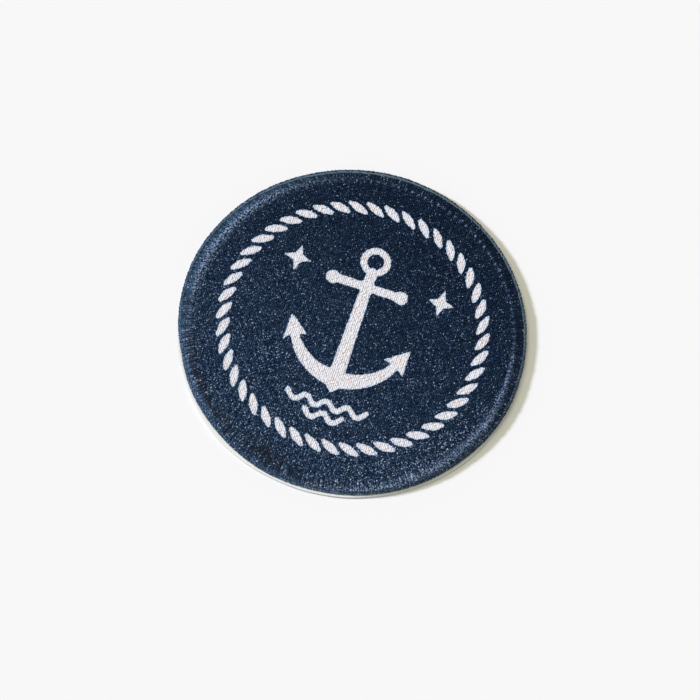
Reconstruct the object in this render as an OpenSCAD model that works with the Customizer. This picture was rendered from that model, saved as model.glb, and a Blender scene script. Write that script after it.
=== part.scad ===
// Round cloth patch: a stitched face with a raised, wrapped border, fixed to a pale backing.
// It lies on its back. +Y is the upright of the printed design, +Z is out of the face.

/* [Face] */
// Diameter of the stitched face, measured over the border
face_d = 75; // [50:1:100]
// Thickness of the base cloth that carries the stitches
cloth_t = 0.6; // [0.3:0.05:0.8]
// Depth of the fill stitches on top of the base cloth
fill_t = 0.8; // [0.2:0.05:1]

/* [Border] */
// Width of the border, seen from above
border_w = 3.1; // [2:0.1:5]
// Height of the border's crest over the fill stitches
crest_rise = 0.2; // [0.1:0.05:0.6]
// Distance from the border's inner edge to its crest
crest_in = 0.9; // [0.6:0.1:1.6]
// Roundness of the border's outer slope: 1 is straight, and 2 is a quarter of an ellipse
slope_power = 1.4; // [1.2:0.1:2]
// Thickness of the threads that wrap the rim of the base cloth
wrap_t = 0.5; // [0.3:0.05:0.8]
// Height of the upright foot of the border, over the backing
foot_h = 0.5; // [0.1:0.05:0.8]

/* [Backing] */
// Thickness of the backing
backing_t = 0.6; // [0.4:0.1:1.5]
// Diameter of the backing, which was cut apart from the face
backing_d = 75; // [50:1:100]
// How far the backing sits off the middle of the face
backing_shift = 0.45; // [0:0.05:0.6]
// Direction in which the backing stands out, counted from +X towards +Y
shift_angle = 260; // [0:5:355]

/* [Hidden] */

// Smoothness of the round faces
$fn = 180;

// Gap between the wrapped threads and the cloth and stitches they hold
thread_gap = 0.05;

face_r = face_d / 2;
inner_r = face_r - border_w;
crest_r = inner_r + crest_in;
cloth_r = face_r - wrap_t - thread_gap;

cloth_top = backing_t + cloth_t;
fill_top = cloth_top + fill_t;
crest_top = fill_top + crest_rise;
foot_top = backing_t + foot_h;

// Angle between two points of the border's rounded section
section_step = 9;

// The face and the backing share the shift, so that their common box stays centred on the origin
half_shift = backing_shift / 2 * [cos(shift_angle), sin(shift_angle)];

// Points on a quarter round centre [r, z], with half axes [a, b], from angle a0 to a1. With a power of 2
// the quarter is an ellipse's, and it is flatter with less.
function quarter(centre, half_axes, power, a0, a1) = [
    for (a = [a0 : section_step : a1])
        [
            centre[0] + half_axes[0] * sign(cos(a)) * pow(abs(cos(a)), 2 / power),
            centre[1] + half_axes[1] * pow(sin(a), 2 / power)
        ]
];

// Pale layer that closes the back of the patch
module backing() {
    color("#dcdcd2")
        translate(half_shift)
            cylinder(r = backing_d / 2, h = backing_t);
}

// Base cloth with the fill stitches on it; the rim of the cloth runs on under the border
module field() {
    color("#233349")
        translate(-half_shift) {
            translate([0, 0, backing_t])
                cylinder(r = cloth_r, h = cloth_t);
            translate([0, 0, backing_t])
                cylinder(r = inner_r - thread_gap, h = cloth_t + fill_t);
        }
}

// Section of the border: it stands on the cloth's rim, rises to its crest close to the field,
// falls in a long slope to the edge, and wraps down to the backing outside the cloth
function border_section() = concat(
    [[cloth_r + thread_gap, backing_t], [face_r, backing_t]],
    quarter([crest_r, foot_top], [face_r - crest_r, crest_top - foot_top], slope_power, 0, 90),
    quarter([crest_r, fill_top], [crest_in, crest_rise], 2, 90 + section_step, 180),
    [[inner_r, cloth_top + thread_gap], [cloth_r + thread_gap, cloth_top + thread_gap]]
);

// Raised stitched border
module border() {
    color("#2f425b")
        translate(-half_shift)
            rotate_extrude()
                polygon(border_section());
}

backing();
field();
border();
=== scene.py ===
"""Round stitched cloth patch with a printed navy face, a raised border and a pale backing, lying flat."""

from math import cos, hypot, pi, radians, sin, tan

import bmesh
import bpy
import numpy as np
from mathutils import Matrix, Vector


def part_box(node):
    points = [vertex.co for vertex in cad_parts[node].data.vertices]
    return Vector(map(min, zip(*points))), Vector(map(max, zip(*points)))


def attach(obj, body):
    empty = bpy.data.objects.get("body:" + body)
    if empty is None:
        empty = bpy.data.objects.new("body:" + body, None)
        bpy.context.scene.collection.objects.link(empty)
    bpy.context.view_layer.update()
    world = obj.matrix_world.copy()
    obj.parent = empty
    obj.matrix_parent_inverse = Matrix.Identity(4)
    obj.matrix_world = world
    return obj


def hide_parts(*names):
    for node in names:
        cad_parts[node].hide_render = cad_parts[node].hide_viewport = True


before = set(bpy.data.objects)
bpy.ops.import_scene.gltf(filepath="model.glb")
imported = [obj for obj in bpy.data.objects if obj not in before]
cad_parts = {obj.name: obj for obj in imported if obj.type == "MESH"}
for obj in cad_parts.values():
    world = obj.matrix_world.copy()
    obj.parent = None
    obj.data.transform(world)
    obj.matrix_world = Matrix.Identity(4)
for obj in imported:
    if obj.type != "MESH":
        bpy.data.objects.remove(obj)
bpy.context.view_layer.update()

# The backing
# A pale pressed sheet that closes the back. It is cut by hand and bonded on a little off the middle of the
# face, so its cut edge stands out below the stitches along the near side.
MM = 0.001
backing_low, backing_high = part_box("backing")
backing_t = backing_high[2] - backing_low[2]
backing_r = (backing_high[0] - backing_low[0]) / 2
backing_middle = Vector(((backing_low[0] + backing_high[0]) / 2, (backing_low[1] + backing_high[1]) / 2, 0))
CUT_CORNER = 0.09 * MM  # the cut edge is pressed a little round
BACKING_SIDES = 480
BACKING_PALE = (0.84, 0.85, 0.815, 1)
BACKING_SHADE = (0.74, 0.75, 0.71, 1)
BACKING_CLOUD = (0.78, 0.80, 0.76, 1)
# painted shade on its edge at the far left, where the hard light falls
BACKING_PAINTED_SHADE = (0.70, 0.707, 0.68, 1)  # its edge at the far left
# painted light on its edge at the near right, in the shadow
BACKING_PAINTED_LIGHT = (0.82, 0.89, 0.93, 1)  # its edge at the near right
CUT_GREY = (0.47, 0.47, 0.45, 1)
# painted shade on the cut face at the far left
CUT_PAINTED_SHADE = (0.18, 0.18, 0.17, 1)
CUT_LOW, CUT_HIGH = 0.01 * MM, 0.56 * MM  # the cut face of the edge, over the table
TOWARDS_RIGHT = (0.87, -0.5, 0)
TOWARDS_LEFT = (-0.985, 0.17, 0)

# Where the scissors strayed outward: direction in degrees, by how much in millimetres, over how wide an arc
CUT_STRAYS = [(-119, 0.22, 17), (-22, 0.22, 27)]


class Nodes:
    """Adds nodes to one tree. An input is given by its name or number, and holds a value or a socket to
    link."""

    def __init__(self, tree):
        self.tree = tree

    def add(self, kind, inputs=(), **settings):
        node = self.tree.nodes.new(kind)
        for setting, value in settings.items():
            setattr(node, setting, value)
        for key, value in dict(inputs).items():
            if isinstance(value, bpy.types.NodeSocket):
                self.tree.links.new(value, node.inputs[key])
            else:
                node.inputs[key].default_value = value
        return node

    def maths(self, operation, a, b=0.0, c=0.0, clamp=False):
        inputs = {0: a, 1: b, 2: c}
        return self.add("ShaderNodeMath", inputs, operation=operation, use_clamp=clamp).outputs[0]

    def between(self, value, low, high, start=0.0, end=1.0):
        """A soft step from start to end as the value goes from low to high."""
        inputs = {"Value": value, "From Min": low, "From Max": high, "To Min": start, "To Max": end}
        return self.add("ShaderNodeMapRange", inputs, interpolation_type="SMOOTHSTEP").outputs["Result"]

    def blend(self, share, a, b):
        """The mix of two colours, with a share of the second from 0 to 1."""
        return self.add("ShaderNodeMix", {0: share, 6: a, 7: b}, data_type="RGBA").outputs[2]

    def noise(self, vector, scale, detail=2.0, rough=0.5):
        inputs = {"Vector": vector, "Scale": scale, "Detail": detail, "Roughness": rough}
        return self.add("ShaderNodeTexNoise", inputs).outputs["Fac"]

    def vectors(self, operation, a, b):
        return self.add("ShaderNodeVectorMath", {0: a, 1: b}, operation=operation).outputs[0]

    def along(self, place, direction):
        """How far a place lies along a direction."""
        node = self.add("ShaderNodeVectorMath", {0: place, 1: direction}, operation="DOT_PRODUCT")
        return node.outputs["Value"]

    def marked(self, name):
        """The value that each vertex carries under a name."""
        return self.add("ShaderNodeAttribute", attribute_name=name).outputs["Fac"]


def new_material(name):
    """An empty material, as (material, its nodes, its Principled shader, its object coordinates)."""
    material = bpy.data.materials.new(name)
    material.use_nodes = True
    material.node_tree.nodes.clear()
    nodes = Nodes(material.node_tree)
    shader = nodes.add("ShaderNodeBsdfPrincipled")
    nodes.add("ShaderNodeOutputMaterial", {"Surface": shader.outputs[0]})
    return material, nodes, shader, nodes.add("ShaderNodeTexCoord").outputs["Object"]


def feed(nodes, shader, **inputs):
    """Feeds a shader's inputs, named with _ for a space, from sockets or with plain values."""
    for key, value in inputs.items():
        socket = shader.inputs[key.replace("_", " ")]
        if isinstance(value, bpy.types.NodeSocket):
            nodes.tree.links.new(value, socket)
        else:
            socket.default_value = value


def closed_mesh(form, name):
    """The mesh of a closed form, with its faces turned outward and shaded smooth."""
    bmesh.ops.recalc_face_normals(form, faces=form.faces)
    mesh = bpy.data.meshes.new(name)
    form.to_mesh(mesh)
    form.free()
    mesh.shade_smooth()
    return mesh


def turned(name, section, turns, ring=False):
    """A closed form turned round +Z from points (r, z). A ring's section closes on itself, and any other
    runs from a pole on the axis to another."""
    form = bmesh.new()
    rows = []
    for r, z in section:
        if r == 0:
            rows.append([form.verts.new((0, 0, z))] * turns)
        else:
            angles = [2 * pi * k / turns for k in range(turns)]
            rows.append([form.verts.new((r * cos(a), r * sin(a), z)) for a in angles])
    pairs = list(zip(rows, rows[1:])) + ([(rows[-1], rows[0])] if ring else [])
    for upper, lower in pairs:
        for k in range(turns):
            after = (k + 1) % turns
            corners = [upper[k], lower[k], lower[after], upper[after]]
            form.faces.new(list(dict.fromkeys(corners)))
    piece = bpy.data.objects.new(name, closed_mesh(form, name))
    bpy.context.collection.objects.link(piece)
    return piece


def points_of(piece):
    """A piece's vertices as rows of x, y, z."""
    flat = np.empty(len(piece.data.vertices) * 3)
    piece.data.vertices.foreach_get("co", flat)
    return flat.reshape(-1, 3)


def put_points(piece, points):
    """Moves a piece's vertices to those rows."""
    piece.data.vertices.foreach_set("co", points.ravel())
    piece.data.update()


def strays(angle, table):
    """The sum of a table's smooth strays, in millimetres, at directions in degrees."""
    total = np.zeros(len(angle))
    for towards, by, arc in table:
        total += by * np.exp(-((((angle - towards + 180) % 360 - 180) / arc) ** 2))
    return total


def backing_edge(angle):
    """How far the cut edge is from the circle: a slight waver, and the strays of the scissors."""
    waver = 0.05 * np.sin(3 * angle + 1.1) + 0.035 * np.sin(8 * angle + 0.3) + 0.02 * np.sin(23 * angle)
    return MM * (waver + strays(np.degrees(angle), CUT_STRAYS))


R, T, C = backing_r, backing_t, CUT_CORNER
backing_section = [(0, T), (0.4 * R, T), (0.8 * R, T), (R - 6 * C, T), (R - C, T), (R - C / 4, T - C / 4)]
backing_section += [(R, T - C), (R + 0.02 * MM, T / 2), (R, C), (R - C / 4, C / 4), (R - C, 0)]
backing_section += [(R - 6 * C, 0), (0.8 * R, 0), (0.4 * R, 0), (0, 0)]
backing = turned("backing_sheet", backing_section, BACKING_SIDES)
points = points_of(backing)
outward = np.hypot(points[:, 0], points[:, 1])
stray = backing_edge(np.arctan2(points[:, 1], points[:, 0])) * (outward / R) ** 12
points[:, :2] *= (1 + stray / np.maximum(outward, MM))[:, None]
put_points(backing, points + np.array(backing_middle))

material, nodes, shader, place = new_material("pressed backing")
fibres = nodes.noise(place, 2600, 4, 0.65)
clouds = nodes.noise(place, 240, 2)
pale = nodes.blend(nodes.between(fibres, 0.35, 0.7), BACKING_SHADE, BACKING_PALE)
pale = nodes.blend(nodes.between(clouds, 0.4, 0.75, 0.0, 0.35), pale, BACKING_CLOUD)

# Only its edge is seen. Painted shade makes it duller at the far left, where the hard light falls, and
# painted light makes it paler and cooler at the near right, in the shadow. Its cut face is grey, darkened by
# painted shade at the far left and less grey under painted light at the near right.
apart = nodes.add("ShaderNodeSeparateXYZ", {0: place}).outputs
over_table = nodes.between(apart["Z"], CUT_LOW, CUT_LOW + 0.05 * MM)
# painted shade on the edge at the far left
shaded_left = nodes.maths("MULTIPLY", over_table, nodes.between(apart["X"], -32 * MM, -8 * MM, 1.0, 0.0))
pale = nodes.blend(shaded_left, pale, BACKING_PAINTED_SHADE)
cut = nodes.between(apart["Z"], CUT_HIGH - 0.12 * MM, CUT_HIGH, 1.0, 0.0)
cut = nodes.maths("MULTIPLY", over_table, cut)
# painted light at the near right: the edge paler and cooler, and its cut face less grey
lit_right = nodes.between(nodes.along(place, TOWARDS_RIGHT), 20 * MM, 32 * MM)
lit_right = nodes.maths("MULTIPLY", over_table, lit_right)
pale = nodes.blend(lit_right, pale, BACKING_PAINTED_LIGHT)
cut = nodes.maths("MULTIPLY", cut, nodes.maths("MULTIPLY_ADD", lit_right, -0.8, 1.0))
# painted shade: the cut face darker at the far left, where the hard light falls
darkened = nodes.between(nodes.along(place, TOWARDS_LEFT), 19 * MM, 31 * MM)
pale = nodes.blend(cut, pale, nodes.blend(darkened, CUT_GREY, CUT_PAINTED_SHADE))
bump = nodes.add("ShaderNodeBump", {"Height": fibres, "Strength": 0.5, "Distance": 0.1 * MM})
feed(nodes, shader, Base_Color=pale, Normal=bump.outputs[0], Roughness=0.85, Specular_IOR_Level=0.3)
backing.data.materials.append(material)
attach(backing, "root")
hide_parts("backing")

# The base cloth
# A disc of plain woven cloth. It lies on the backing, runs on under the border and carries every stitch,
# and it only shows in the fine gaps between them.
field_low, field_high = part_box("field")
border_low, border_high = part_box("border")
face_r = (border_high[0] - border_low[0]) / 2
face_middle = Vector(((border_low[0] + border_high[0]) / 2, (border_low[1] + border_high[1]) / 2, 0))
cloth_r = (field_high[0] - field_low[0]) / 2
field_top = field_high[2]
crest_top = border_high[2]
BORDER_W = 3.1 * MM
STITCH_RISE = 0.13 * MM  # how far a fill stitch stands over the cloth
CLOTH_RING = 0.6 * MM  # from ring to ring of its mesh
CLOTH_SIDES = 300
RIM_T = 0.6 * MM  # the cloth's thickness under the border
PUCKER = 0.05 * MM  # how far its stitches pull it up and down
NAVY_DEEP = (0.0045, 0.0153, 0.0470, 1)
NAVY_GREEN = (0.0050, 0.0173, 0.0435, 1)
# the dark and the lit end of the navy's tone, partly painted shade and painted highlight
NAVY_DARK = (0.0002, 0.0036, 0.0150, 1)
NAVY_LIT = (0.024, 0.054, 0.112, 1)
# the colour of pale flecks, partly lost dye and partly painted glints
NAVY_FLECK = (0.35, 0.425, 0.57, 1)
# the colour of painted glints
PAINTED_GLINT = (0.62, 0.68, 0.78, 1)
SHEEN_BLUE = (0.48, 0.70, 1.0, 1)
TEAL = (0.015, 0.047, 0.087, 1)
OFF_WHITE = (0.765, 0.75, 0.785, 1)
WHITE_SHADE = (0.745, 0.73, 0.765, 1)
BLUSH = (0.82, 0.68, 0.62, 1)
BLEED = (0.30, 0.50, 0.74, 1)

# Where the edge of the face strays from a true circle: direction in degrees, by how much in millimetres,
# over how wide an arc
EDGE_STRAYS = [
    (208, -0.28, 8),
    (258, 0.20, 12),
    (173, 0.16, 14),
    (348, 0.12, 9),
    (323, -0.11, 10),
    (118, -0.15, 18),
]


def lay_on_face(piece):
    """Moves a stitched piece onto the face: its edge strays a little, the cloth is faintly puckered by its
    stitches, and its middle is the face's own."""
    points = points_of(piece)
    outward = np.hypot(points[:, 0], points[:, 1])
    stray = MM * strays(np.degrees(np.arctan2(points[:, 1], points[:, 0])), EDGE_STRAYS)
    points[:, :2] *= (1 + stray * (outward / face_r) ** 6 / np.maximum(outward, MM))[:, None]
    x, y = points[:, 0] / MM, points[:, 1] / MM
    pucker = np.sin(0.31 * x + 0.9 * np.sin(0.17 * y)) * np.sin(0.27 * y + 0.8 * np.sin(0.19 * x + 1))
    points[:, 2] += PUCKER * pucker * np.clip((points[:, 2] - backing_t) / (0.5 * MM), 0, 1)
    put_points(piece, points + np.array(face_middle))


# Where painted highlights make the face paler, on and beside its border: direction in degrees,
# how far in from the edge, over how wide an arc, half width, and by what share
SHEEN_BANDS = [
    (162, 2.68, 34, 0.75, 0.46),
    (8, 0.80, 26, 0.60, 0.03),
    (-3, 2.75, 13, 0.35, 0.30),
    (-24, 2.12, 14, 0.46, 0.38),
    (-44, 1.50, 14, 0.46, 0.38),
    (-65, 0.85, 14, 0.60, 0.36),
    (-86, 0.40, 16, 0.50, 0.26),
    (-142, 0.90, 16, 0.60, 0.12),
]
# the colour of the painted highlights
SHEEN_NAVY = (0.245, 0.342, 0.525, 1)

# Where it is darker, in the same way: a little soil, and painted shade in the groove beside the border's
# crest
SOIL_AND_SHADE = [(-104, 3.4, 8, 2.0, 0.65), (-137, 2.2, 20, 0.60, 0.80), (-86, 1.6, 11, 0.45, 0.75)]
SOIL_AND_SHADE_COLOUR = (0.012, 0.008, 0.008, 1)

# A painted highlight runs along the border's inner edge as a line of pale dots, spaced like needle holes:
# direction, how far in from the edge, over how wide an arc, half width and by what share
INNER_EDGE_GLINTS = [(78, 3.05, 60, 0.24, 0.42)]
HOLE_TO_HOLE = 2.6  # degrees


def share_of(inward, angle, table):
    """The share by which a table's places take in each point."""
    share = np.zeros(len(angle))
    for towards, middle, arc, half_width, most in table:
        share += strays(angle, [(towards, most, arc)]) * np.exp(-(((inward - middle) / half_width) ** 2))
    return share


def mark_sheen_and_dark(piece, table=SHEEN_BANDS):
    """Gives each vertex its shares of painted sheen, which makes it paler, and of darkening by soil and
    painted shade.
    """
    points = points_of(piece)
    inward = (face_r - np.hypot(points[:, 0], points[:, 1])) / MM
    angle = np.degrees(np.arctan2(points[:, 1], points[:, 0]))
    # painted sheen from the table, with dots of painted highlight along the border's inner edge
    glint_dots = np.clip(np.cos(np.radians(360 * angle / HOLE_TO_HOLE)), 0, 1) ** 2
    painted_sheen = share_of(inward, angle, table) + glint_dots * share_of(inward, angle, INNER_EDGE_GLINTS)
    for name, share in (("painted_sheen", painted_sheen), ("darkened", share_of(inward, angle, SOIL_AND_SHADE))):
        attribute = piece.data.attributes.new(name, "FLOAT", "POINT")
        attribute.data.foreach_set("value", share.astype(np.float32))


# The printed design, in millimetres from the middle of the face: a plain anchor in a ring of rope, with
# two stars and two lines of waves. Each function gives the distance to a shape's outline, below 0 inside.
ANCHOR_SCALE, ANCHOR_UP = 1.1, 1.9


def disc(x, y, middle, r):
    """A round spot."""
    return np.hypot(x - middle[0], y - middle[1]) - r


def strand(x, y, start, end, start_w, end_w, swell=0.0):
    """A bar with round ends, start_w and end_w in half width, that may swell in its middle."""
    dx, dy = end[0] - start[0], end[1] - start[1]
    along = np.clip(((x - start[0]) * dx + (y - start[1]) * dy) / (dx * dx + dy * dy), 0, 1)
    half_w = start_w + (end_w - start_w) * along + swell * np.sin(pi * along)
    return np.hypot(x - start[0] - along * dx, y - start[1] - along * dy) - half_w


def cut_shape(x, y, corners):
    """A shape with straight sides."""
    away, inside = np.full(x.shape, np.inf), np.zeros(x.shape, bool)
    for (ax, ay), (bx, by) in zip(corners, corners[1:] + corners[:1]):
        away = np.minimum(away, strand(x, y, (ax, ay), (bx, by), 0, 0))
        if ay != by:
            inside ^= ((ay > y) != (by > y)) & (x < (bx - ax) * (y - ay) / (by - ay) + ax)
    return np.where(inside, -away, away)


def star(x, y, middle, reach, points=4, waist=0.36):
    """A pointed star, with its waist as a share of its reach."""
    corners = []
    for k in range(2 * points):
        r, a = reach * (waist if k % 2 else 1), pi / 2 + k * pi / points
        corners.append((middle[0] + r * cos(a), middle[1] + r * sin(a)))
    return cut_shape(x, y, corners)


def waves(x, y, height, half_length, rise=0.75, length=4.6, half_w=0.6):
    """A waving line."""
    line = height + rise * np.cos(2 * pi * x / length)
    steep = rise * 2 * pi / length * np.sin(2 * pi * x / length)
    return np.maximum(np.abs(y - line) / np.sqrt(1 + steep**2) - half_w, np.abs(x) - half_length)


def rope(x, y, r=27.9, strands=46, half_length=1.75, half_rise=1.15, half_w=0.42, swell=0.48):
    """A ring of slanting strands."""
    pitch = 2 * pi * r / strands
    along = (np.arctan2(y, x) / (2 * pi) * strands) % 1 * pitch - pitch / 2
    across = np.hypot(x, y) - r
    ends = (-half_length, -half_rise), (half_length, half_rise)
    return np.minimum.reduce(
        [strand(along - k * pitch, across, *ends, half_w, half_w, swell) for k in (-1, 0, 1)]
    )


def anchor(x, y):
    """An anchor, 31 mm tall. Its right half is drawn, and mirrored."""
    x = np.abs(x)
    arm_middle, arm_r, arm_end = (0, -1.9), 11.4, radians(-26)
    from_middle = np.hypot(x - arm_middle[0], y - arm_middle[1])
    turn = np.arctan2(y - arm_middle[1], x - arm_middle[0])
    along = np.clip((turn + pi / 2) / (arm_end + pi / 2), 0, 1)
    arm = np.abs(from_middle - arm_r) - (1.8 - 0.95 * along)
    tip = np.array((arm_r * cos(arm_end), arm_middle[1] + arm_r * sin(arm_end)))
    ahead, out = np.array((-sin(arm_end), cos(arm_end))), np.array((cos(arm_end), sin(arm_end)))
    barbs = [tip + side * 2.6 * out - 0.9 * ahead for side in (1, -1)]
    fluke = [tip + 4.3 * ahead, barbs[0], tip + 0.3 * ahead, barbs[1]]
    shapes = [
        np.abs(disc(x, y, (0, 12.6), 2.35)) - 0.7,
        strand(x, y, (0, 10.2), (0, -12.5), 1.05, 1.5),
        strand(x, y, (0, 6.9), (6.6, 6.9), 0.9, 0.9),
        disc(x, y, (7.0, 6.9), 1.4),
        np.where(turn < arm_end, arm, disc(x, y, tip, 0.85)),
        cut_shape(x, y, [tuple(corner) for corner in fluke]),
        cut_shape(x, y, [(-2.3, -14.2), (0, -16.3), (2.3, -14.2), (0, -12)]),
    ]
    return np.minimum.reduce(shapes)


def mark_print(piece):
    """Gives each vertex its distance to the design's outline, so that the dye's edge stays sharp between
    them."""
    points = (points_of(piece) - np.array(face_middle)) / MM
    x, y = points[:, 0], points[:, 1]
    design = [
        anchor(x / ANCHOR_SCALE, (y - ANCHOR_UP) / ANCHOR_SCALE) * ANCHOR_SCALE,
        rope(x, y),
        star(np.abs(x), y, (16.2, 11.2), 3.3),
        waves(x, y, -18.9, 9.2),
        waves(x, y, -21.7, 4.6),
    ]
    edge = piece.data.attributes.new("print_edge", "FLOAT", "POINT")
    edge.data.foreach_set("value", np.minimum.reduce(design).astype(np.float32))


def map_from_above(piece, slope_starts=None):
    """Gives a piece a map from above, named OFBake, for baking its finish. It is the view from
    above, because stitches are too many and too small to be laid out one by one. Past slope_starts the
    outer slope is unrolled, so that no face there is edge-on."""
    points = points_of(piece) - np.array(face_middle)
    outward = np.maximum(np.hypot(points[:, 0], points[:, 1]), 0.001 * MM)
    unrolled = outward
    if slope_starts is not None:
        on_slope = np.clip((outward - slope_starts) / (0.3 * MM), 0, 1)
        unrolled = outward + on_slope * (crest_top - points[:, 2])
    places = 0.5 + 0.49 * points[:, :2] * (unrolled / outward / unrolled.max())[:, None]
    corners = np.empty(len(piece.data.loops), np.int32)
    piece.data.loops.foreach_get("vertex_index", corners)
    layer = piece.data.uv_layers.new(name="OFBake")
    layer.uv.foreach_set("vector", places[corners].astype(np.float32).ravel())


def dye_group():
    """The navy dye on thread: it drifts between two blues, turns greener where told, differs a little from
    thread to thread, and leaves small pale flecks where a thread has lost its dye. It also carries painted
    light: a painted sheen that makes it paler towards the near side, painted glints among the flecks, and a
    grain of dark and lit tone that stands partly for painted shade between stitches and painted highlights
    on them."""
    tree = bpy.data.node_groups.new("navy dye", "ShaderNodeTree")
    tree.interface.new_socket("Place", in_out="INPUT", socket_type="NodeSocketVector")
    for name in ("Thread", "Greener", "Flecks"):
        tree.interface.new_socket(name, in_out="INPUT", socket_type="NodeSocketFloat")
    tree.interface.new_socket("Colour", in_out="OUTPUT", socket_type="NodeSocketColor")
    nodes = Nodes(tree)
    given = nodes.add("NodeGroupInput").outputs
    drift = nodes.between(nodes.noise(given["Place"], 260, 3, 0.6), 0.40, 0.60)
    navy = nodes.blend(drift, NAVY_DEEP, NAVY_GREEN)
    navy = nodes.blend(given["Greener"], navy, TEAL)
    # painted sheen: paler towards the near side, darker towards the far side
    sheen_gradient = nodes.between(nodes.along(given["Place"], (0.37, 0.93, 0)), -45 * MM, 45 * MM, 1.65, 0.5)
    stretched = nodes.vectors("MULTIPLY", given["Place"], (1, 0.4, 1))
    # the grain stands partly for painted shade between stitches and painted highlights on them
    grain = nodes.between(nodes.noise(stretched, 4100, 1), 0.36, 0.64, 0.34, 1.60)
    tone = nodes.maths("MULTIPLY", nodes.maths("MULTIPLY_ADD", given["Thread"], 0.9, 0.55), sheen_gradient)
    tone = nodes.maths("MULTIPLY", tone, grain)
    navy = nodes.blend(nodes.between(tone, 0.15, 1.1), NAVY_DARK, navy)
    navy = nodes.blend(nodes.between(tone, 0.9, 3.4), navy, NAVY_LIT)
    # pale flecks where dye is lost, and painted glints, more of them towards the near side and the near
    # right
    glint_chance = nodes.maths("MULTIPLY_ADD", given["Thread"], 0.10, nodes.noise(given["Place"], 3100, 1))
    glint_chance = nodes.maths("MULTIPLY_ADD", sheen_gradient, 0.055, glint_chance)
    right = nodes.along(given["Place"], (0.74, -0.67, 0))
    glint_chance = nodes.maths("ADD", glint_chance, nodes.between(right, 22 * MM, 37 * MM, 0.0, 0.045))
    fleck = nodes.maths("MULTIPLY", nodes.between(glint_chance, 0.725, 0.860), given["Flecks"])
    painted_glint = nodes.maths("MULTIPLY", nodes.between(glint_chance, 0.86, 0.94), given["Flecks"])
    flecked = nodes.blend(fleck, navy, NAVY_FLECK)
    nodes.add("NodeGroupOutput", {"Colour": nodes.blend(painted_glint, flecked, PAINTED_GLINT)})
    return tree


navy_dye = dye_group()


def dyed_thread(nodes, place, thread, greener=0.0, flecks=0.75):
    """The colour of dyed thread in one material."""
    inputs = {"Place": place, "Thread": thread, "Greener": greener, "Flecks": flecks}
    return nodes.add("ShaderNodeGroup", inputs, node_tree=navy_dye).outputs["Colour"]


def sheen_and_dark_thread(nodes, place, dyed):
    """Dyed thread with pale specks of painted highlight where its piece carries painted sheen, and dark ones
    where it is darkened by soil and painted shade.
    """
    # pale specks of painted highlight where the piece carries painted sheen
    specks = nodes.between(nodes.noise(place, 2900, 2), 0.45, 0.61, 0.0, 2.9)
    painted_sheen = nodes.maths("MULTIPLY", nodes.marked("painted_sheen"), specks, clamp=True)
    # dark specks of soil and painted shade
    specks = nodes.between(nodes.noise(place, 1300, 2), 0.42, 0.60, 0.2, 1.3)
    darkened = nodes.maths("MULTIPLY", nodes.marked("darkened"), specks, clamp=True)
    return nodes.blend(darkened, nodes.blend(painted_sheen, dyed, SHEEN_NAVY), SOIL_AND_SHADE_COLOUR)


def printed_colour(nodes, place, thread):
    """The dyed navy and the undyed off-white design, with the edge between them slightly ragged."""
    dyed = sheen_and_dark_thread(nodes, place, dyed_thread(nodes, place, thread))
    ragged = nodes.maths("MULTIPLY_ADD", nodes.noise(place, 1700, 2), 0.5, -0.25)
    edge = nodes.maths("ADD", nodes.marked("print_edge"), ragged)
    inside = nodes.between(edge, -0.05, 0.05, 1.0, 0.0)
    white = nodes.blend(thread, WHITE_SHADE, OFF_WHITE)
    blush = nodes.between(nodes.noise(place, 520, 2), 0.57, 0.70, 0.0, 0.8)
    white = nodes.blend(blush, white, BLUSH)
    bleed = nodes.between(edge, -0.42, 0.0, 0.0, 0.5)
    return nodes.blend(inside, dyed, nodes.blend(bleed, white, BLEED))


cloth_top = field_top - STITCH_RISE
steps = int(cloth_r / CLOTH_RING)
cloth_section = [(0, cloth_top)] + [(cloth_r * k / steps, cloth_top) for k in range(1, steps + 1)]
cloth_section += [(cloth_r, backing_t), (cloth_r / 2, backing_t), (0, backing_t)]
cloth = turned("base_cloth", cloth_section, CLOTH_SIDES)
under_border = face_r - BORDER_W
points = points_of(cloth)
outward = np.hypot(points[:, 0], points[:, 1])
rim_top = backing_t + RIM_T
points[(outward > under_border) & (points[:, 2] > rim_top), 2] = rim_top
put_points(cloth, points)
mark_sheen_and_dark(cloth)
lay_on_face(cloth)
mark_print(cloth)

material, nodes, shader, place = new_material("printed base cloth")
weave = nodes.add("ShaderNodeTexChecker", {"Vector": place, "Scale": 2500.0}).outputs["Fac"]
colour = printed_colour(nodes, place, nodes.noise(place, 900, 1))
bump = nodes.add("ShaderNodeBump", {"Height": weave, "Strength": 0.4, "Distance": 0.05 * MM})
feed(nodes, shader, Base_Color=colour, Normal=bump.outputs[0], Roughness=0.8, Specular_IOR_Level=0.2)
cloth.data.materials.append(material)
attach(cloth, "root")
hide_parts("field")

# The fill stitches
# Short polyester stitches laid side by side in rows along the design's height until they cover the cloth.
# They are sewn white, and the whole face is then printed with a heated press.
ROW_SPACING = 0.42 * MM
STITCH_PITCH = 0.80 * MM
STITCH_LENGTH = 1.0 * MM
STITCH_W = 0.56 * MM
FILL_R = under_border + 0.55 * MM  # the rows run on a little under the border


def stitch_form(name, length, width, rise):
    """One stitch along +Y with closed, sunk ends: four sides, two rings and a point at each end."""
    ring = [(-0.5, 0.0), (-0.3, 0.86), (0.3, 0.86), (0.5, 0.0)]
    form = bmesh.new()
    tail = form.verts.new((0, -length / 2, 0))
    rings = [
        [form.verts.new((x * width, end * length * 0.34, z * rise)) for x, z in ring] for end in (-1, 1)
    ]
    tip = form.verts.new((0, length / 2, 0))
    for k in range(4):
        after = (k + 1) % 4
        form.faces.new((tail, rings[0][k], rings[0][after]))
        form.faces.new((rings[0][k], rings[1][k], rings[1][after], rings[0][after]))
        form.faces.new((rings[1][k], tip, rings[1][after]))
    return closed_mesh(form, name)


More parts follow.
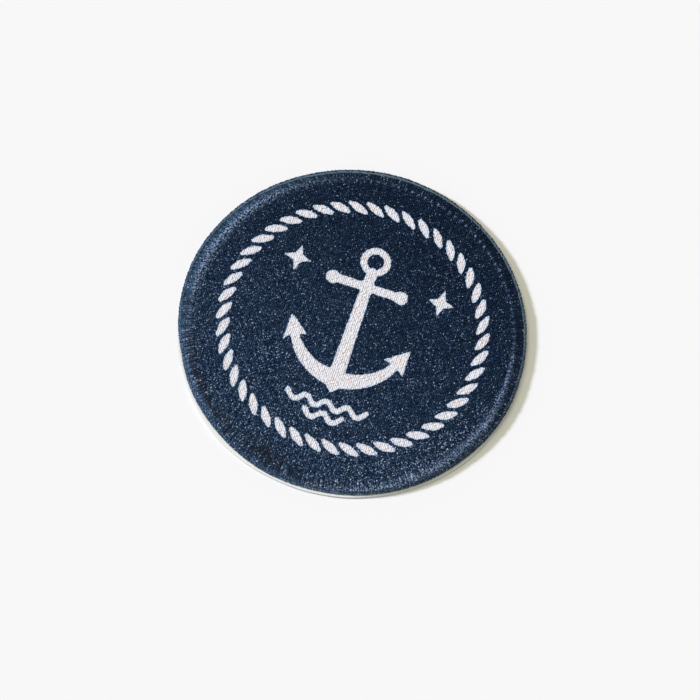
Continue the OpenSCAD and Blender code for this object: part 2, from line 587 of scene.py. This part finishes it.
def new_layout(name, sockets):
    """An empty tree of geometry nodes with its named inputs, as (tree, its nodes, its inputs)."""
    tree = bpy.data.node_groups.new(name, "GeometryNodeTree")
    kinds = {"float": "NodeSocketFloat", "count": "NodeSocketInt", "mesh": "NodeSocketGeometry"}
    kinds.update(vector="NodeSocketVector", material="NodeSocketMaterial")
    for socket, kind in sockets:
        tree.interface.new_socket(socket, in_out="INPUT", socket_type=kinds[kind])
    tree.interface.new_socket("Pieces", in_out="OUTPUT", socket_type="NodeSocketGeometry")
    nodes = Nodes(tree)
    return tree, nodes, nodes.add("NodeGroupInput").outputs


def random_of(nodes, kind, low, high, seed, salt):
    """A random number or vector for each point or stitch, with a fixed seed."""
    least, most, made = {"FLOAT_VECTOR": (0, 1, 0), "FLOAT": (2, 3, 1)}[kind]
    inputs = {least: low, most: high, "Seed": nodes.maths("ADD", seed, salt)}
    return nodes.add("FunctionNodeRandomValue", inputs, data_type=kind).outputs[made]


def finish_layout(nodes, instances, given):
    """Gives each instance its own random shade, makes them real, and sets the thread's material."""
    shade = random_of(nodes, "FLOAT", 0.0, 1.0, given["Seed"], 9)
    inputs = {"Geometry": instances, "Name": "thread_shade", "Value": shade}
    stored = nodes.add("GeometryNodeStoreNamedAttribute", inputs, data_type="FLOAT", domain="INSTANCE")
    real = nodes.add("GeometryNodeRealizeInstances", {"Geometry": stored.outputs[0]})
    inputs = {"Geometry": real.outputs[0], "Material": given["Thread"]}
    painted = nodes.add("GeometryNodeSetMaterial", inputs)
    nodes.add("NodeGroupOutput", {0: painted.outputs[0]})


def rows_of_stitches():
    """Rows of one stitch over a round field, each row set off from the last like bricks."""
    sockets = [("Stitch", "mesh"), ("Field radius", "float"), ("Field height", "float")]
    sockets += [("Row spacing", "float"), ("Stitch pitch", "float"), ("Row offset", "float")]
    sockets += [("Stray", "vector"), ("Turn", "vector"), ("Least size", "vector"), ("Most size", "vector")]
    sockets += [("Seed", "count"), ("Thread", "material")]
    tree, nodes, given = new_layout("rows of stitches", sockets)
    across = nodes.maths("MULTIPLY", given["Field radius"], 2.0)
    inputs = {"Size X": across, "Size Y": across}
    inputs["Vertices X"] = nodes.maths("ADD", nodes.maths("DIVIDE", across, given["Row spacing"]), 1.0)
    inputs["Vertices Y"] = nodes.maths("ADD", nodes.maths("DIVIDE", across, given["Stitch pitch"]), 1.0)
    grid = nodes.add("GeometryNodeMeshGrid", inputs).outputs["Mesh"]
    place = nodes.add("GeometryNodeInputPosition").outputs[0]
    x = nodes.add("ShaderNodeSeparateXYZ", {0: place}).outputs["X"]
    from_first = nodes.maths("ADD", x, given["Field radius"])
    row = nodes.maths("ROUND", nodes.maths("DIVIDE", from_first, given["Row spacing"]))
    shift = nodes.maths("FRACT", nodes.maths("MULTIPLY", row, given["Row offset"]))
    shift = nodes.maths("MULTIPLY", shift, given["Stitch pitch"])
    shift = nodes.add("ShaderNodeCombineXYZ", {"Y": shift, "Z": given["Field height"]}).outputs[0]
    back = nodes.vectors("MULTIPLY", given["Stray"], (-1, -1, -1))
    stray = random_of(nodes, "FLOAT_VECTOR", back, given["Stray"], given["Seed"], 1)
    moved = nodes.vectors("ADD", shift, stray)
    laid = nodes.add("GeometryNodeSetPosition", {"Geometry": grid, "Offset": moved}).outputs[0]
    place = nodes.add("GeometryNodeInputPosition").outputs[0]
    flat = nodes.vectors("MULTIPLY", place, (1, 1, 0))
    away = nodes.add("ShaderNodeVectorMath", {0: flat}, operation="LENGTH").outputs["Value"]
    outside = nodes.maths("GREATER_THAN", away, given["Field radius"])
    inputs = {"Geometry": laid, "Selection": outside}
    kept = nodes.add("GeometryNodeDeleteGeometry", inputs, domain="POINT").outputs[0]
    back = nodes.vectors("MULTIPLY", given["Turn"], (-1, -1, -1))
    turn = random_of(nodes, "FLOAT_VECTOR", back, given["Turn"], given["Seed"], 2)
    size = random_of(nodes, "FLOAT_VECTOR", given["Least size"], given["Most size"], given["Seed"], 3)
    inputs = {"Points": kept, "Instance": given["Stitch"], "Rotation": turn, "Scale": size}
    sewn = nodes.add("GeometryNodeInstanceOnPoints", inputs).outputs[0]
    finish_layout(nodes, sewn, given)
    return tree


def sewn_piece(name, form, tree, inputs):
    """Runs a layout on one stitch's mesh and returns the result as an object with a plain mesh."""
    piece = bpy.data.objects.new(name, form)
    bpy.context.collection.objects.link(piece)
    modifier = piece.modifiers.new("layout", "NODES")
    modifier.node_group = tree
    for socket in tree.interface.items_tree:
        if socket.in_out == "INPUT" and socket.name in inputs:
            modifier[socket.identifier] = inputs[socket.name]
    graph = bpy.context.evaluated_depsgraph_get()
    made = bpy.data.meshes.new_from_object(
        piece.evaluated_get(graph), preserve_all_data_layers=True, depsgraph=graph
    )
    piece.modifiers.clear()
    piece.data = made
    made.name = name
    return piece


def thread_material(name, colour_of, shine, rough_low, rough_high, relief=0.09 * MM, across=0.0):
    """Twisted polyester thread: fine fibres run along it, and each thread shines a little differently. Light
    spreads inside undyed thread, so its fibres show less."""
    material, nodes, shader, place = new_material(name)
    thread = nodes.marked("thread_shade")
    fibres = nodes.noise(place, 2600, 3, 0.6)
    if colour_of is printed_colour:
        shown = nodes.between(nodes.marked("print_edge"), -0.3, 0.1, 0.35, 1.0)
        fibres = nodes.maths("MULTIPLY", nodes.maths("SUBTRACT", fibres, 0.5), shown)
    bump = nodes.add("ShaderNodeBump", {"Height": fibres, "Strength": 1.0, "Distance": relief})
    rough = nodes.between(thread, 0.0, 1.0, rough_low, rough_high)
    feed(nodes, shader, Base_Color=colour_of(nodes, place, thread), Normal=bump.outputs[0], Roughness=rough)
    feed(nodes, shader, Specular_IOR_Level=shine, Specular_Tint=SHEEN_BLUE, Anisotropic=across)
    return material


fill_thread = thread_material("printed fill thread", printed_colour, 0.26, 0.34, 0.62, 0.06 * MM)
fill_form = stitch_form("fill_stitch", STITCH_LENGTH, STITCH_W, STITCH_RISE)
fill_inputs = {
    "Field radius": FILL_R,
    "Field height": cloth_top,
    "Row spacing": ROW_SPACING,
    "Stitch pitch": STITCH_PITCH,
    "Row offset": 0.37,
    "Stray": (0.05 * MM, 0.16 * MM, 0.03 * MM),
    "Turn": (radians(2.5), radians(4), radians(7)),
    "Least size": (0.85, 0.85, 0.8),
    "Most size": (1.15, 1.1, 1.25),
    "Seed": 11,
    "Thread": fill_thread,
}
fill = sewn_piece("fill_stitches", fill_form, rows_of_stitches(), fill_inputs)
mark_sheen_and_dark(fill)
lay_on_face(fill)
mark_print(fill)
map_from_above(fill)
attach(fill, "root")
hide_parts("field")

# The border
# Polyester threads, laid densely across the rim from a line inside the edge, over a low crest and down round
# the cloth. Their far side was turned away from the press, so the dye thins to a greener blue there.
CREST_IN = 0.9 * MM  # from the border's inner edge to its crest
CORE_SIDES = 360
PRINT_R = face_r - 0.95 * MM  # the press reached this far round a point off the middle of the face
PRINT_MIDDLE = face_middle + Vector((0.75 * MM, -0.55 * MM, 0))
THREAD_W = 0.48 * MM
THREAD_RISE = 0.13 * MM  # how far a thread stands over the core it lies on
THREAD_PITCH = 0.46 * MM
THREAD_LEAN = radians(3)  # off the straight line outward
SLOPE_POWER = 1.4  # 2 would make the outer slope an ellipse, and 1 a straight line

# How far the crest strays outward from its ring: direction in degrees, by how much, over how wide an arc
CREST_STRAYS = [(-60, 0.7, 45), (218, 0.6, 28)]
CREST_STRAY = -0.45  # and everywhere
UNDYED = (0.62, 0.63, 0.60, 1)
crest_r = under_border + CREST_IN
CREST_TOP = crest_top - 0.07 * MM
foot_top = backing_t + 0.5 * MM  # where the outer slope ends and its upright foot begins


def border_line(sink, steps):
    """Points (r, z) over the border from its inner edge to its foot, sunk by that much below its skin."""
    line = []
    for k in range(steps + 1):
        a = pi - pi / 2 * k / steps
        height = field_top + (CREST_TOP - field_top) * sin(a)
        line.append((crest_r + (CREST_IN - sink) * cos(a), height - sink))
    for k in range(1, 2 * steps + 1):
        out = cos(pi / 2 - pi / 2 * k / (2 * steps)) ** (2 / SLOPE_POWER) if k < 2 * steps else 1.0
        r = crest_r + (face_r - crest_r - sink) * out
        line.append((r, foot_top + (CREST_TOP - foot_top - sink) * slope_height(out)))
    return line


def slope_height(out):
    """Height over the foot, from 1 to 0, as the outer slope runs out from the crest, from 0 to 1."""
    return np.maximum(1 - out**SLOPE_POWER, 0) ** (1 / SLOPE_POWER)


def shift_crest(piece):
    """Lets the border's crest stray, while its inner and its outer edge keep their places."""
    points = points_of(piece)
    outward = np.hypot(points[:, 0], points[:, 1])
    share = np.interp(outward, (under_border, crest_r, face_r), (0, 1, 0))
    stray = CREST_STRAY + strays(np.degrees(np.arctan2(points[:, 1], points[:, 0])), CREST_STRAYS)
    points[:, :2] *= (1 + stray * MM * share / outward)[:, None]
    put_points(piece, points)


# The core's hollow underside keeps just clear of the cloth's rim, which it wraps
core_in = under_border + THREAD_RISE
hollow_r, hollow_top = cloth_r + 0.05 * MM, rim_top + 0.02 * MM
core_section = [(core_in, cloth_top - 0.2 * MM)] + border_line(THREAD_RISE, 5)
core_section += [(face_r - THREAD_RISE, backing_t), (hollow_r, backing_t)]
core_section += [(hollow_r, hollow_top), (core_in, hollow_top)]
core = turned("border_core", core_section, CORE_SIDES, ring=True)
shift_crest(core)
mark_sheen_and_dark(core)
lay_on_face(core)


def skinned(form, rings, name):
    """The closed mesh of a thread from its rings of vertices, with a flat face at each end."""
    for one, two in zip(rings, rings[1:]):
        for k in range(len(one)):
            after = (k + 1) % len(one)
            form.faces.new((one[k], one[after], two[after], two[k]))
    form.faces.new(rings[0])
    form.faces.new(rings[-1])
    return closed_mesh(form, name)


def thread_form(name, line, width, rise, lean=0.0):
    """One closed thread along points (r, z) at +X: a half-round top with a flat, hidden underside."""
    ring = [(-0.5, 0.0), (-0.36, 0.7), (0.0, 1.0), (0.36, 0.7), (0.5, 0.0)]
    form = bmesh.new()
    middle = sum(r for r, _ in line) / len(line)
    rings = []
    for k, (r, z) in enumerate(line):
        before, after = line[max(k - 1, 0)], line[min(k + 1, len(line) - 1)]
        dr, dz = after[0] - before[0], after[1] - before[1]
        size = hypot(dr, dz)
        out_r, out_z = -dz / size, dr / size
        side = (r - middle) * tan(lean)
        rings.append(
            [form.verts.new((r + h * rise * out_r, side + w * width, z + h * rise * out_z)) for w, h in ring]
        )
    return skinned(form, rings, name)


def threads_round_rim():
    """Copies of one thread, which lies at +X, turned round the middle of the face."""
    sockets = [("Thread form", "mesh"), ("Count", "count"), ("Stray", "float")]
    sockets += [("Least size", "vector"), ("Most size", "vector"), ("Seed", "count"), ("Thread", "material")]
    tree, nodes, given = new_layout("threads round a rim", sockets)
    spots = nodes.add("GeometryNodePoints", {"Count": given["Count"]}).outputs[0]
    index = nodes.add("GeometryNodeInputIndex").outputs[0]
    back = nodes.maths("MULTIPLY", given["Stray"], -1.0)
    stray = random_of(nodes, "FLOAT", back, given["Stray"], given["Seed"], 1)
    share = nodes.maths("DIVIDE", nodes.maths("ADD", index, stray), given["Count"])
    turn = nodes.add("ShaderNodeCombineXYZ", {"Z": nodes.maths("MULTIPLY", share, 2 * pi)}).outputs[0]
    size = random_of(nodes, "FLOAT_VECTOR", given["Least size"], given["Most size"], given["Seed"], 3)
    inputs = {"Points": spots, "Instance": given["Thread form"], "Rotation": turn, "Scale": size}
    finish_layout(nodes, nodes.add("GeometryNodeInstanceOnPoints", inputs).outputs[0], given)
    return tree


def border_colour(nodes, place, thread):
    """Navy over the crest, greener and paler on the outer side, and undyed where a thread turns under."""
    off = nodes.vectors("SUBTRACT", place, PRINT_MIDDLE)
    flat = nodes.vectors("MULTIPLY", off, (1, 1, 0))
    away = nodes.add("ShaderNodeVectorMath", {0: flat}, operation="LENGTH").outputs["Value"]
    strayed = nodes.maths("MULTIPLY_ADD", nodes.noise(place, 900, 2), 0.8 * MM, -0.4 * MM)
    missed = nodes.between(nodes.maths("ADD", away, strayed), PRINT_R - 0.1 * MM, PRINT_R + 0.15 * MM)
    navy = sheen_and_dark_thread(nodes, place, dyed_thread(nodes, place, thread, greener=missed))
    uneven = nodes.maths("MULTIPLY_ADD", nodes.noise(place, 1500, 2), 0.3 * MM, -0.15 * MM)
    height = nodes.maths("ADD", nodes.add("ShaderNodeSeparateXYZ", {0: off}).outputs["Z"], uneven)
    under = nodes.between(height, backing_t + 0.02 * MM, backing_t + 0.12 * MM, 1.0, 0.0)
    return nodes.blend(under, navy, UNDYED)


def loop_colour(nodes, place, thread):
    """The loops' thread took less dye than the rest: least at the top, and without the greener tone at the
    right."""
    paler = nodes.between(nodes.along(place, (0.08, 0.99, 0)), -14 * MM, 40 * MM, 0.0, 0.27)
    greener = nodes.between(nodes.along(place, (0.8, -0.6, 0)), 12 * MM, 32 * MM, 1.0, 0.1)
    dyed = dyed_thread(nodes, place, thread, greener=greener, flecks=0.5)
    return nodes.blend(paler, sheen_and_dark_thread(nodes, place, dyed), LOOP_PALE)


border_thread = thread_material("border thread", border_colour, 0.27, 0.42, 0.58, 0.10 * MM, 0.6)
core.data.materials.append(border_thread)
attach(core, "root")
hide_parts("border")

threads_line = [(under_border - 0.12 * MM, cloth_top)] + border_line(THREAD_RISE, 4)
threads_line += [(face_r - THREAD_RISE, backing_t + 0.02 * MM)]
threads_form = thread_form("border_stitch", threads_line, THREAD_W, THREAD_RISE, THREAD_LEAN)
rim_layout = threads_round_rim()
rim_inputs = {
    "Count": round(2 * pi * face_r / THREAD_PITCH),
    "Stray": 0.35,
    "Least size": (0.9985, 0.85, 0.98),
    "Most size": (1.0008, 1.3, 1.025),
    "Seed": 23,
    "Thread": border_thread,
}
border = sewn_piece("border_threads", threads_form, rim_layout, rim_inputs)
shift_crest(border)
mark_sheen_and_dark(border)
lay_on_face(border)
map_from_above(border, crest_r)
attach(border, "root")
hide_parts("border")

# The edge loops
# Where each border stitch turns under, its thread is locked by a slanting loop, and the loops follow each
# other like a chain along the outer side of the border.
LOOP_LENGTH = 1.5 * MM
LOOP_PITCH = 0.9 * MM
LOOP_THICK = 0.32 * MM
LOOP_STARTS, LOOP_ENDS = 0.66 * MM, 0.30 * MM  # how far in from the edge
LOOP_SIDES = LOOP_STEPS = 6
LOOP_PALE = (0.31, 0.43, 0.53, 1)

# Where the loops stray from their ring: direction in degrees, by how much, over how wide an arc
LOOP_STRAYS = [(110, -0.38, 50), (5, 0.06, 30)]

# Where painted highlights make the loops paler, as in the table of the face
LOOPS_SHEEN = [(8, 0.50, 26, 1.0, 0.12), (-152, 0.55, 24, 1.0, 0.12)]


def skin_height(r):
    """Height of the border's outer slope at a distance from its middle."""
    return foot_top + (CREST_TOP - foot_top) * slope_height((r - crest_r) / (face_r - crest_r))


def slide_on_slope(piece, table):
    """Lets a piece on the border's outer slope stray in or out, up or down the slope."""
    points = points_of(piece)
    outward = np.hypot(points[:, 0], points[:, 1])
    moved = outward + MM * strays(np.degrees(np.arctan2(points[:, 1], points[:, 0])), table)
    points[:, :2] *= (moved / outward)[:, None]
    points[:, 2] += skin_height(moved) - skin_height(outward)
    put_points(piece, points)


def loop_form(name, length, inner_r, outer_r, thick):
    """One slanting loop on the outer slope at +X, closed, with its ends sunk."""
    form = bmesh.new()
    rings = []
    for k in range(LOOP_STEPS + 1):
        share = k / LOOP_STEPS
        fat = thick / 2 * sin(pi * min(max(share, 0.05), 0.95)) ** 0.5
        r = inner_r + (outer_r - inner_r) * share
        z = skin_height(r) - 0.02 * MM + 0.06 * MM * sin(pi * share)
        ring = []
        for j in range(LOOP_SIDES):
            a = 2 * pi * j / LOOP_SIDES
            ring.append(form.verts.new((r + fat * cos(a), (share - 0.5) * length, z + fat * sin(a))))
        rings.append(ring)
    return skinned(form, rings, name)


loop_thread = thread_material("edge loop thread", loop_colour, 0.6, 0.3, 0.5)
loops_form = loop_form("edge_loop", LOOP_LENGTH, face_r - LOOP_STARTS, face_r - LOOP_ENDS, LOOP_THICK)
loop_inputs = {
    "Count": round(2 * pi * face_r / LOOP_PITCH),
    "Stray": 0.25,
    "Least size": (0.999, 0.85, 0.98),
    "Most size": (1.001, 1.2, 1.02),
    "Seed": 31,
    "Thread": loop_thread,
}
loops = sewn_piece("edge_loops", loops_form, rim_layout, loop_inputs)
slide_on_slope(loops, LOOP_STRAYS)
shift_crest(loops)
mark_sheen_and_dark(loops, LOOPS_SHEEN)
lay_on_face(loops)
map_from_above(loops, crest_r)
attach(loops, "root")
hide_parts("border")

# The surface it lies on, and the light
# A plain pale table, a hard light from the left, a soft one from above and an even warm fill from the white
# room. They belong to the picture and not to the patch.
FLOOR_HALF = 1.5  # half its side
FLOOR = (0.85, 0.85, 0.855, 1)
FLOOR_SHADE = (0.845, 0.845, 0.85, 1)
ROOM_FILL = (1.0, 0.972, 0.79, 1)
ROOM_SEEN = (0.94, 0.94, 0.94, 1)
floor_mesh = bpy.data.meshes.new("floor")
floor_corners = [(x * FLOOR_HALF, y * FLOOR_HALF, 0) for x, y in ((-1, -1), (1, -1), (1, 1), (-1, 1))]
floor_mesh.from_pydata(floor_corners, [], [(0, 1, 2, 3)])
floor = bpy.data.objects.new("floor", floor_mesh)
bpy.context.collection.objects.link(floor)
material, nodes, shader, place = new_material("pale table")
grain = nodes.noise(place, 60, 3)
floor_colour = nodes.blend(grain, FLOOR_SHADE, FLOOR)
feed(nodes, shader, Base_Color=floor_colour, Roughness=0.9, Specular_IOR_Level=0.1)
floor_mesh.materials.append(material)


def distant_light(name, strength, spread, colour, direction, height):
    """A light as from far away, whose source spreads over an angle and lies at a direction round +Z and a
    height over the table, all in degrees."""
    data = bpy.data.lights.new(name, "SUN")
    data.energy = strength
    data.angle = radians(spread)
    data.color = colour
    light = bpy.data.objects.new(name, data)
    bpy.context.collection.objects.link(light)
    turn, rise = radians(direction), radians(height)
    source = Vector((cos(turn) * cos(rise), sin(turn) * cos(rise), sin(rise)))
    light.rotation_euler = source.to_track_quat("Z", "Y").to_euler()
    return light


key = distant_light("key", 3.90, 9, (0.795, 0.813, 1.0), 187, 29.4)
key.visible_glossy = False  # it lights the cloth without a gloss of its own
distant_light("soft box", 1.08, 40, (1.0, 0.98, 0.78), 162, 62)

world = bpy.data.worlds.new("white room")
world.use_nodes = True
world.node_tree.nodes.clear()
nodes = Nodes(world.node_tree)
fill_light = nodes.add("ShaderNodeBackground", {"Color": ROOM_FILL, "Strength": 0.325})
seen_white = nodes.add("ShaderNodeBackground", {"Color": ROOM_SEEN, "Strength": 1.0})
seen = nodes.add("ShaderNodeLightPath").outputs["Is Camera Ray"]
inputs = {0: seen, 1: fill_light.outputs[0], 2: seen_white.outputs[0]}
nodes.add("ShaderNodeOutputWorld", {"Surface": nodes.add("ShaderNodeMixShader", inputs).outputs[0]})
bpy.context.scene.world = world
bpy.context.scene.view_settings.view_transform = "Standard"
bpy.context.scene.view_settings.look = "None"

# The camera
# It looks down at the face from the photograph's angle, a little turned and rolled, and it has the face
# where the photograph has it.
VIEW_HEIGHT, VIEW_TURN, VIEW_ROLL = radians(68.7), radians(8.2), radians(10.46)
LENS, DISTANCE, PICTURE = 120.0, 0.5004, 700
FACE_AT = (352.95, 328.4)  # the middle of the face in the photograph, in pixels
camera_data = bpy.data.cameras.new("camera")
camera_data.lens = LENS
camera_data.clip_start = 0.01
camera_data.clip_end = 10
camera = bpy.data.objects.new("camera", camera_data)
bpy.context.collection.objects.link(camera)
ahead = Vector((-sin(VIEW_TURN) * cos(VIEW_HEIGHT), cos(VIEW_TURN) * cos(VIEW_HEIGHT), -sin(VIEW_HEIGHT)))
turned_camera = ahead.to_track_quat("-Z", "Y").to_matrix() @ Matrix.Rotation(VIEW_ROLL, 3, "Z")
per_pixel = DISTANCE * camera_data.sensor_width / LENS / PICTURE
shift = turned_camera @ Vector(
    ((PICTURE / 2 - FACE_AT[0]) * per_pixel, (FACE_AT[1] - PICTURE / 2) * per_pixel, DISTANCE)
)
camera_place = face_middle + Vector((0, 0, backing_t)) + shift
camera.matrix_world = Matrix.Translation(camera_place) @ turned_camera.to_4x4()
bpy.context.scene.camera = camera
